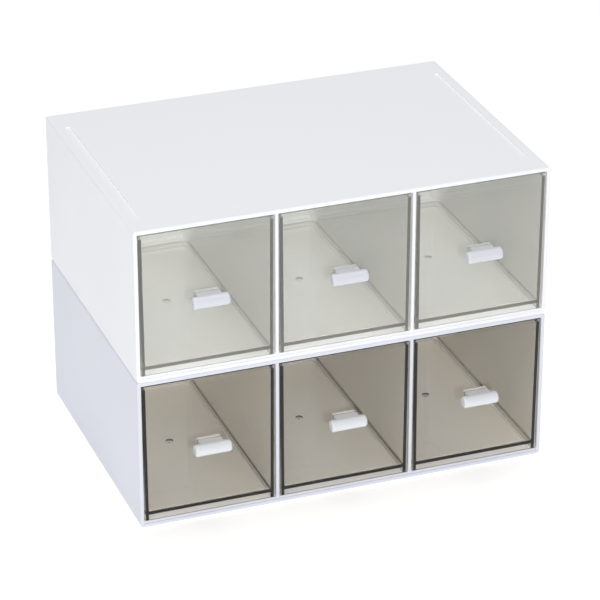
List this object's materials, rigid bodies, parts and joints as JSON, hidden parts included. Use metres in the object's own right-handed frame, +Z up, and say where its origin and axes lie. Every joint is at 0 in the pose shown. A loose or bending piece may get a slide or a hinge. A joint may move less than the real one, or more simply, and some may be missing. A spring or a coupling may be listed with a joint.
{
  "type": "desk organizer",
  "caption": "Two stacked white desk organizer modules with see-through smoky drawers, each drawer with a T-shaped pull.",
  "frame": {"origin": "middle of the whole footprint, handles included, on the surface that the feet stand on", "axes": "+Z up, drawers open towards -Y, +X to the right as seen from the front"},
  "size_m": [0.35, 0.2522, 0.263],
  "materials": {
    "casing_lower": "satin moulded white",
    "casing_upper": "satin moulded white",
    "smoke_lower": "polished, see-through smoky grey",
    "smoke_upper": "polished, see-through pale smoky grey",
    "handle_lower": "satin moulded white",
    "handle_upper": "satin moulded white"
  },
  "bodies": {
    "lower_module": {"casing_lower": "casing_lower", "back_panel_lower": "casing_lower", "divider_lower_left": "casing_lower", "divider_lower_right": "casing_lower"},
    "drawer_lower_left": {"drawer_tray_lower_left": "smoke_lower", "t_handle_lower_left": "handle_lower"},
    "drawer_lower_middle": {"drawer_tray_lower_middle": "smoke_lower", "t_handle_lower_middle": "handle_lower"},
    "drawer_lower_right": {"drawer_tray_lower_right": "smoke_lower", "t_handle_lower_right": "handle_lower"},
    "upper_module": {"casing_upper": "casing_upper", "back_panel_upper": "casing_upper", "divider_upper_left": "casing_upper", "divider_upper_right": "casing_upper"},
    "drawer_upper_left": {"drawer_tray_upper_left": "smoke_upper", "t_handle_upper_left": "handle_upper"},
    "drawer_upper_middle": {"drawer_tray_upper_middle": "smoke_upper", "t_handle_upper_middle": "handle_upper"},
    "drawer_upper_right": {"drawer_tray_upper_right": "smoke_upper", "t_handle_upper_right": "handle_upper"}
  },
  "joints": [
    {"name": "lift_upper_module", "type": "slide", "parent": "lower_module", "child": "upper_module", "axis": [0, 0, 1], "range_m": [0, 0.05]},
    {"name": "slide_lower_left", "type": "slide", "parent": "lower_module", "child": "drawer_lower_left", "axis": [0, -1, 0], "range_m": [0, 0.19]},
    {"name": "slide_lower_middle", "type": "slide", "parent": "lower_module", "child": "drawer_lower_middle", "axis": [0, -1, 0], "range_m": [0, 0.19]},
    {"name": "slide_lower_right", "type": "slide", "parent": "lower_module", "child": "drawer_lower_right", "axis": [0, -1, 0], "range_m": [0, 0.19]},
    {"name": "slide_upper_left", "type": "slide", "parent": "upper_module", "child": "drawer_upper_left", "axis": [0, -1, 0], "range_m": [0, 0.19]},
    {"name": "slide_upper_middle", "type": "slide", "parent": "upper_module", "child": "drawer_upper_middle", "axis": [0, -1, 0], "range_m": [0, 0.19]},
    {"name": "slide_upper_right", "type": "slide", "parent": "upper_module", "child": "drawer_upper_right", "axis": [0, -1, 0], "range_m": [0, 0.19]}
  ]
}
